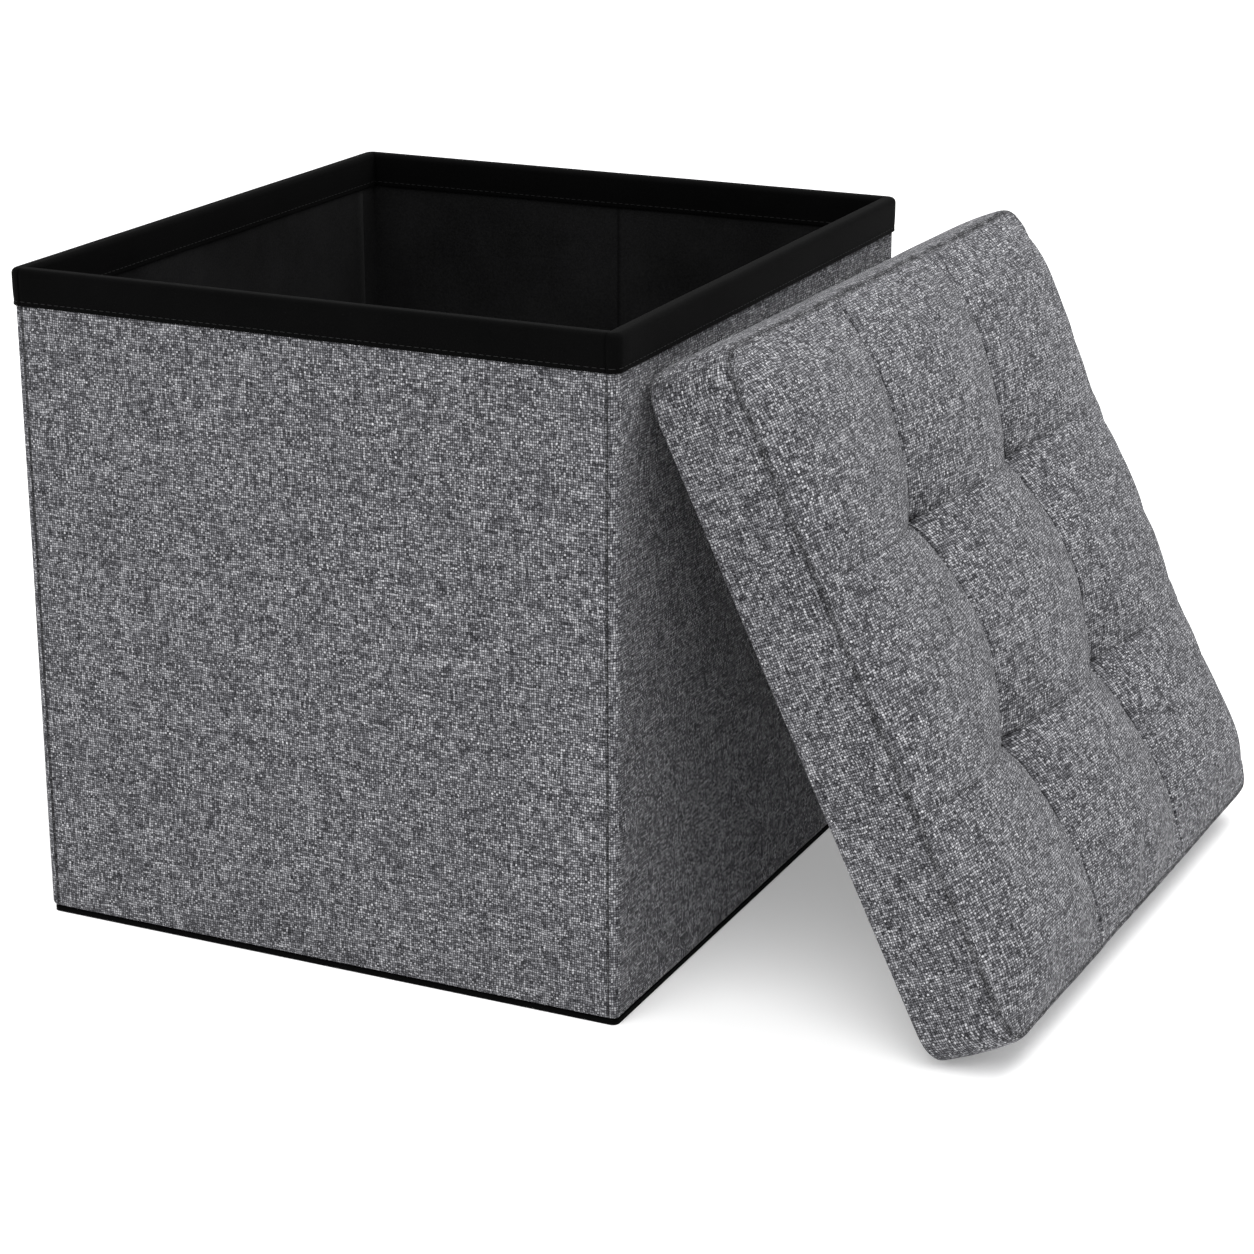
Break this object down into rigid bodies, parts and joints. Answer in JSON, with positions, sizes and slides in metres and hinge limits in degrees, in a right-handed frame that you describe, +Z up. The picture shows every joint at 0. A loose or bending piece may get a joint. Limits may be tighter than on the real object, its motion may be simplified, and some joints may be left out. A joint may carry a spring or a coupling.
{
  "type": "folding storage ottoman",
  "caption": "Fabric-covered cube box with hinged fold-flat walls, black lining and rim binding, and a tufted padded lid leaning on one side.",
  "frame": {"origin": "middle of the box's footprint, on the floor", "axes": "+Z up, +X towards the whole side wall that the lid leans on, -Y towards the front wall"},
  "size_m": [0.6069, 0.4572, 0.386],
  "materials": {
    "woven_fabric": "linen-look melange weave, matte",
    "lining": "non-woven cloth, matte",
    "rim_binding": "soft black binding with a stitched edge",
    "hardboard": "raw hardboard",
    "foam": "open-cell foam",
    "tuft_cord": "twisted cord",
    "washer": "moulded"
  },
  "bodies": {
    "right_wall": {"right_board": "hardboard", "right_fabric": "woven_fabric", "right_lining": "lining", "right_rim": "rim_binding", "bottom_cloth": "lining", "bottom_binding": "rim_binding", "base_hinge_tape": "lining"},
    "front_right": {"front_right_board": "hardboard", "front_right_fabric": "woven_fabric", "front_right_lining": "lining", "front_right_rim": "rim_binding"},
    "front_left": {"front_left_board": "hardboard", "front_left_fabric": "woven_fabric", "front_left_lining": "lining", "front_left_rim": "rim_binding"},
    "left_wall": {"left_board": "hardboard", "left_fabric": "woven_fabric", "left_lining": "lining", "left_rim": "rim_binding"},
    "back_right": {"back_right_board": "hardboard", "back_right_fabric": "woven_fabric", "back_right_lining": "lining", "back_right_rim": "rim_binding"},
    "back_left": {"back_left_board": "hardboard", "back_left_fabric": "woven_fabric", "back_left_lining": "lining", "back_left_rim": "rim_binding"},
    "base": {"base_board": "hardboard", "base_lining": "lining", "base_pull_tab": "rim_binding"},
    "lid": {"lid_board": "hardboard", "lid_foam": "foam", "lid_top_cover": "woven_fabric", "lid_side_band": "woven_fabric", "lid_underside_cloth": "lining", "lid_tuft_washer_1": "washer", "lid_tuft_washer_2": "washer", "lid_tuft_washer_3": "washer", "lid_tuft_washer_4": "washer", "lid_tuft_cord_1": "tuft_cord", "lid_tuft_cord_2": "tuft_cord", "lid_tuft_cord_3": "tuft_cord", "lid_tuft_cord_4": "tuft_cord"}
  },
  "joints": [
    {"name": "wall_fold", "type": "hinge", "parent": "right_wall", "child": "front_right", "pos_m": [0.1716, -0.1936, 0.193], "axis": [0, 0, -1], "range_deg": [0, 90]},
    {"name": "front_middle_fold", "type": "hinge", "parent": "front_right", "child": "front_left", "pos_m": [0, -0.2021, 0.193], "axis": [0, 0, 1], "range_deg": [0, 180]},
    {"name": "front_left_fold", "type": "hinge", "parent": "front_left", "child": "left_wall", "pos_m": [-0.1716, -0.1936, 0.193], "axis": [0, 0, -1], "range_deg": [0, 90]},
    {"name": "back_right_fold", "type": "hinge", "parent": "right_wall", "child": "back_right", "pos_m": [0.1716, 0.1936, 0.193], "axis": [0, 0, 1], "range_deg": [0, 90]},
    {"name": "back_middle_fold", "type": "hinge", "parent": "back_right", "child": "back_left", "pos_m": [0, 0.2021, 0.193], "axis": [0, 0, -1], "range_deg": [0, 180]},
    {"name": "base_lift", "type": "hinge", "parent": "right_wall", "child": "base", "pos_m": [0.1751, 0, 0.002], "axis": [0, 1, 0], "range_deg": [0, 90]},
    {"name": "lid_away", "type": "slide", "parent": "right_wall", "child": "lid", "axis": [0.8983, -0.0298, 0.4384], "range_m": [0, 0.25]}
  ],
  "couplings": [
    {"joint": "front_middle_fold", "follows": "wall_fold", "ratio": 2},
    {"joint": "front_left_fold", "follows": "wall_fold", "ratio": 1},
    {"joint": "back_right_fold", "follows": "wall_fold", "ratio": 1},
    {"joint": "back_middle_fold", "follows": "wall_fold", "ratio": 2}
  ]
}
